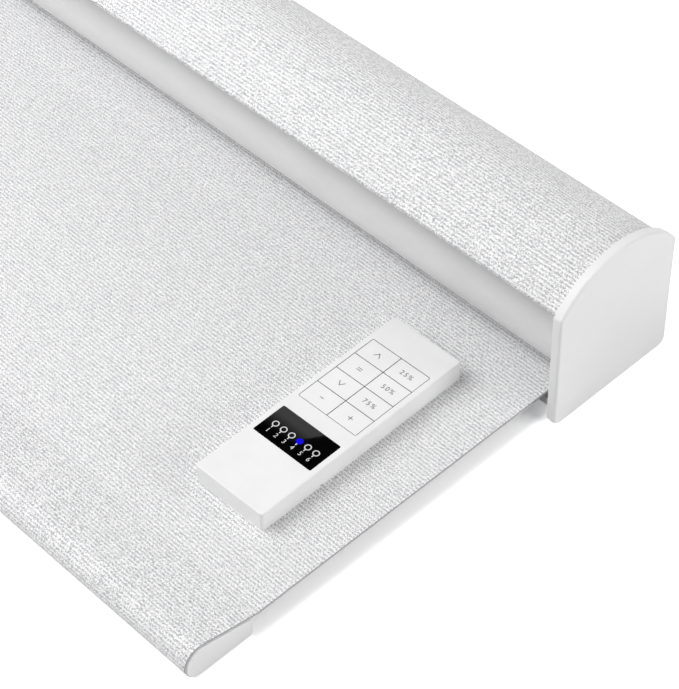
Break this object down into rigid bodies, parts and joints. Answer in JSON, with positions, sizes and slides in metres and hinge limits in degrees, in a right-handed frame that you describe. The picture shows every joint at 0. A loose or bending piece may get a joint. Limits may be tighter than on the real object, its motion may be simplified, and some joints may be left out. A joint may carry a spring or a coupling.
{
  "type": "motorized roller blind",
  "caption": "Cassette roller blind with a tubular motor, a curved cloth-covered fascia, a weighted hem bar and a keypad handset lying on the cloth.",
  "frame": {"origin": "middle of the cassette's flat wall face", "axes": "+X along the roller towards the idle end, +Y from the hem bar towards the cassette's ceiling side, +Z from the wall side towards the room; the blind lies on its back"},
  "size_m": [0.6, 0.3398, 0.101],
  "materials": {
    "anodised_aluminium": "satin anodised",
    "blind_cloth": "woven, horizontal slubs",
    "white_plastic": "satin",
    "plate_steel": "zinc plated",
    "screw_steel": "zinc plated",
    "motor_case": "satin",
    "grey_plastic": "satin",
    "socket_metal": "bright",
    "button_red": "gloss",
    "circuit_board": "solder mask",
    "cell_sleeve": "shrink sleeve",
    "coin_cell_steel": "bright",
    "handset_white": "satin",
    "key_rubber": "matt",
    "display_black": "polished",
    "lamp_blue": "clear"
  },
  "bodies": {
    "cassette": {"headrail": "anodised_aluminium", "fascia_panel": "anodised_aluminium", "fascia_cloth": "blind_cloth", "end_cap_near": "white_plastic", "end_cap_far": "white_plastic", "end_plate_near": "plate_steel", "end_plate_far": "plate_steel", "end_plate_screws": "screw_steel", "mounting_clip_near": "plate_steel", "mounting_clip_far": "plate_steel", "idle_bush": "grey_plastic", "motor_head": "grey_plastic", "motor_housing": "motor_case", "motor_screws": "screw_steel", "charging_socket": "socket_metal", "control_board": "circuit_board", "battery_cells": "cell_sleeve", "drive_motor": "motor_case", "gearbox": "motor_case"},
    "roller": {"roller_tube": "anodised_aluminium", "tube_spline": "grey_plastic", "cloth_roll": "blind_cloth", "crown": "grey_plastic", "drive_wheel": "grey_plastic", "output_shaft": "screw_steel", "shaft_clip": "plate_steel", "idle_plug": "grey_plastic", "idle_spring": "screw_steel"},
    "idle_pin": {"idle_pin": "screw_steel"},
    "setting_button": {"setting_button": "button_red"},
    "hem": {"hem_bar": "anodised_aluminium", "hem_spline": "grey_plastic", "hem_cloth": "blind_cloth", "hem_cap_near": "white_plastic", "hem_cap_far": "white_plastic", "cloth_drop": "blind_cloth"},
    "handset": {"handset_case": "handset_white", "handset_base": "handset_white", "handset_screws": "screw_steel", "handset_board": "circuit_board", "key_mat": "key_rubber", "display_window": "display_black", "channel_lights": "lamp_blue", "coin_cell": "coin_cell_steel", "cell_contacts": "socket_metal"},
    "battery_cover": {"battery_cover": "handset_white"},
    "key_up": {"key_up": "handset_white"},
    "key_stop": {"key_stop": "handset_white"},
    "key_down": {"key_down": "handset_white"},
    "key_minus": {"key_minus": "handset_white"},
    "key_25": {"key_25": "handset_white"},
    "key_50": {"key_50": "handset_white"},
    "key_75": {"key_75": "handset_white"},
    "key_plus": {"key_plus": "handset_white"}
  },
  "joints": [
    {"name": "tube_spin", "type": "hinge", "parent": "cassette", "child": "roller", "pos_m": [0, -0.005, 0.0383], "axis": [1, 0, 0], "range_deg": [-2120, 38]},
    {"name": "hem_travel", "type": "slide", "parent": "cassette", "child": "hem", "axis": [0, 1, 0], "range_m": [-1, 0.018], "deforming": ["cloth_drop"]},
    {"name": "idle_pin_press", "type": "slide", "parent": "roller", "child": "idle_pin", "axis": [-1, 0, 0], "range_m": [0, 0.0062], "stiffness_N_per_m": 400, "springref_m": -0.008, "deforming": ["idle_spring"]},
    {"name": "setting_button_press", "type": "slide", "parent": "cassette", "child": "setting_button", "axis": [0, 1, 0], "range_m": [0, 0.0006], "stiffness_N_per_m": 500},
    {"name": "handset_lift", "type": "slide", "parent": "hem", "child": "handset", "axis": [0, 0, 1], "range_m": [0, 0.12]},
    {"name": "battery_cover_slide", "type": "slide", "parent": "handset", "child": "battery_cover", "axis": [0.0209, -0.9998, 0], "range_m": [0, 0.036]},
    {"name": "key_up_press", "type": "slide", "parent": "handset", "child": "key_up", "axis": [0, 0, -1], "range_m": [0, 0.0004], "stiffness_N_per_m": 600},
    {"name": "key_stop_press", "type": "slide", "parent": "handset", "child": "key_stop", "axis": [0, 0, -1], "range_m": [0, 0.0004], "stiffness_N_per_m": 600},
    {"name": "key_down_press", "type": "slide", "parent": "handset", "child": "key_down", "axis": [0, 0, -1], "range_m": [0, 0.0004], "stiffness_N_per_m": 600},
    {"name": "key_minus_press", "type": "slide", "parent": "handset", "child": "key_minus", "axis": [0, 0, -1], "range_m": [0, 0.0004], "stiffness_N_per_m": 600},
    {"name": "key_25_press", "type": "slide", "parent": "handset", "child": "key_25", "axis": [0, 0, -1], "range_m": [0, 0.0004], "stiffness_N_per_m": 600},
    {"name": "key_50_press", "type": "slide", "parent": "handset", "child": "key_50", "axis": [0, 0, -1], "range_m": [0, 0.0004], "stiffness_N_per_m": 600},
    {"name": "key_75_press", "type": "slide", "parent": "handset", "child": "key_75", "axis": [0, 0, -1], "range_m": [0, 0.0004], "stiffness_N_per_m": 600},
    {"name": "key_plus_press", "type": "slide", "parent": "handset", "child": "key_plus", "axis": [0, 0, -1], "range_m": [0, 0.0004], "stiffness_N_per_m": 600}
  ],
  "couplings": [
    {"joint": "hem_travel", "follows": "tube_spin", "m_per_rad": 0.027}
  ]
}
